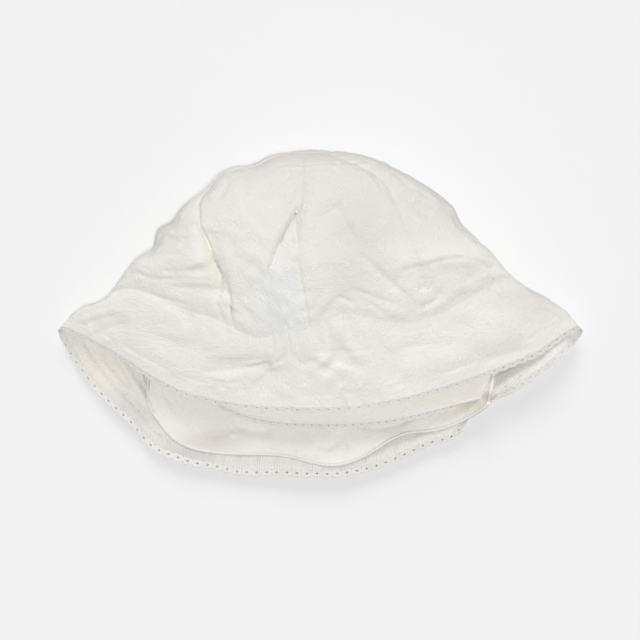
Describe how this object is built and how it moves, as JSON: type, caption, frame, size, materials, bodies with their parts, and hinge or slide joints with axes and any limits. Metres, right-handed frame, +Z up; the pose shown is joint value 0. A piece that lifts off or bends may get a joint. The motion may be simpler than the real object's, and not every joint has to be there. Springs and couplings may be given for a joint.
{
  "type": "sun hat",
  "caption": "Soft cotton sun hat lying on its back: panelled crown, flared brim edged with pierced scalloped lace, straighter layer inside, open head hollow.",
  "frame": {"origin": "middle of the hat's box, on the surface it lies on", "axes": "+X across the hat to its right brim tip, +Y from the head opening to the top of the crown, +Z up from the surface"},
  "size_m": [0.2862, 0.1782, 0.0572],
  "materials": {
    "crown_cloth": "matt crinkled off-white cotton with small raised dots",
    "brim_cloth": "matt crinkled off-white cotton",
    "under_brim_cloth": "matt warm off-white cotton",
    "lace": "matt cotton edging lace"
  },
  "bodies": {
    "root": {"crown_panel_1": "crown_cloth", "crown_panel_2": "crown_cloth", "crown_panel_3": "crown_cloth", "crown_panel_4": "crown_cloth", "crown_panel_5": "crown_cloth", "crown_panel_6": "crown_cloth", "crown_panel_7": "crown_cloth", "crown_panel_8": "crown_cloth", "brim": "brim_cloth", "under_brim": "under_brim_cloth", "lace_edging": "lace"}
  },
  "joints": []
}
